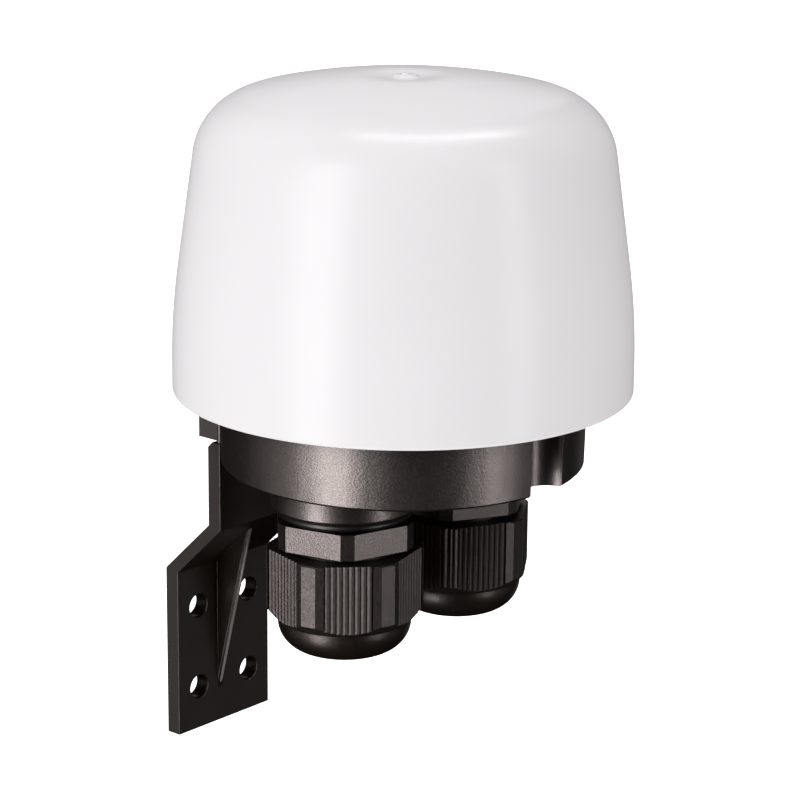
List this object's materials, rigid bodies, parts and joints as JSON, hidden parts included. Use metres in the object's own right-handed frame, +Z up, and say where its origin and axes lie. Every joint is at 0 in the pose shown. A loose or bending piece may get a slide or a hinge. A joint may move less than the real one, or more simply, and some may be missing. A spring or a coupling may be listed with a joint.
{
  "type": "photocell switch",
  "caption": "Opal dome photocell switch on a dark round base with cable glands underneath and a cranked wall bracket behind.",
  "frame": {"origin": "middle of the wall screw pattern, on the wall face of the bracket", "axes": "+Y into the wall, +Z up, +X along the wall"},
  "size_m": [0.0832, 0.0904, 0.1332],
  "materials": {
    "opal_dome": "opal white moulded shell, fine satin",
    "base_plastic": "brown-black moulded, fine spark texture",
    "bracket_plastic": "brown-black moulded, satin",
    "gland_plastic": "dark grey-brown polyamide, satin",
    "seal_rubber": "black moulded rubber",
    "board_laminate": "green solder mask",
    "plated_steel": "zinc plated",
    "clamp_brass": "nickel-free brass",
    "relay_case": "black moulded case",
    "terminal_green": "green moulded block",
    "cell_face": "ceramic disc with sulphide track",
    "holder_white": "natural white moulded",
    "trimmer_blue": "blue moulded case",
    "dial_white": "white moulded dial",
    "film_yellow": "yellow filled box",
    "can_sleeve": "dark blue sleeve",
    "varistor_blue": "blue dipped coating",
    "chip_epoxy": "black moulding epoxy",
    "resistor_lacquer": "beige lacquer"
  },
  "bodies": {
    "housing": {"cover_seal": "seal_rubber", "base_housing": "base_plastic", "wall_bracket": "bracket_plastic", "gland_body_left": "gland_plastic", "gland_body_right": "gland_plastic", "gland_washer_left": "seal_rubber", "gland_washer_right": "seal_rubber", "lock_nut_left": "gland_plastic", "lock_nut_right": "gland_plastic", "circuit_board": "board_laminate", "board_screws": "plated_steel", "relay": "relay_case", "terminal_block": "terminal_green", "terminal_clamps": "clamp_brass", "terminal_screws": "plated_steel", "photocell": "cell_face", "photocell_holder": "holder_white", "trimmer_body": "trimmer_blue", "dropper_capacitor": "film_yellow", "smoothing_capacitor": "can_sleeve", "varistor": "varistor_blue", "bridge_rectifier": "chip_epoxy", "comparator_chip": "chip_epoxy", "switching_transistor": "chip_epoxy", "resistors": "resistor_lacquer"},
    "cover": {"dome_cover": "opal_dome"},
    "seal_left": {"gland_seal_left": "seal_rubber"},
    "seal_right": {"gland_seal_right": "seal_rubber"},
    "nut_left": {"gland_nut_left": "gland_plastic"},
    "nut_right": {"gland_nut_right": "gland_plastic"},
    "dial": {"lux_dial": "dial_white"}
  },
  "joints": [
    {"name": "cover_lift", "type": "slide", "parent": "housing", "child": "cover", "axis": [0, 0, 1], "range_m": [0, 0.05]},
    {"name": "lux_set", "type": "hinge", "parent": "housing", "child": "dial", "pos_m": [0.0205, -0.0488, 0.0741], "axis": [0, 0, 1], "range_deg": [-135, 135]},
    {"name": "nut_feed_left", "type": "slide", "parent": "housing", "child": "seal_left", "axis": [0, 0, 1], "range_m": [-0.0061, 0.0012]},
    {"name": "nut_turn_left", "type": "hinge", "parent": "seal_left", "child": "nut_left", "pos_m": [-0.0156, -0.0488, 0.0262], "axis": [0, 0, 1], "range_deg": [-1440, 270]},
    {"name": "nut_feed_right", "type": "slide", "parent": "housing", "child": "seal_right", "axis": [0, 0, 1], "range_m": [-0.0061, 0.0012]},
    {"name": "nut_turn_right", "type": "hinge", "parent": "seal_right", "child": "nut_right", "pos_m": [0.0156, -0.0488, 0.0262], "axis": [0, 0, 1], "range_deg": [-1440, 270]}
  ],
  "couplings": [
    {"joint": "nut_feed_left", "follows": "nut_turn_left", "m_per_rad": 0.00023873},
    {"joint": "nut_feed_right", "follows": "nut_turn_right", "m_per_rad": 0.00023873}
  ]
}
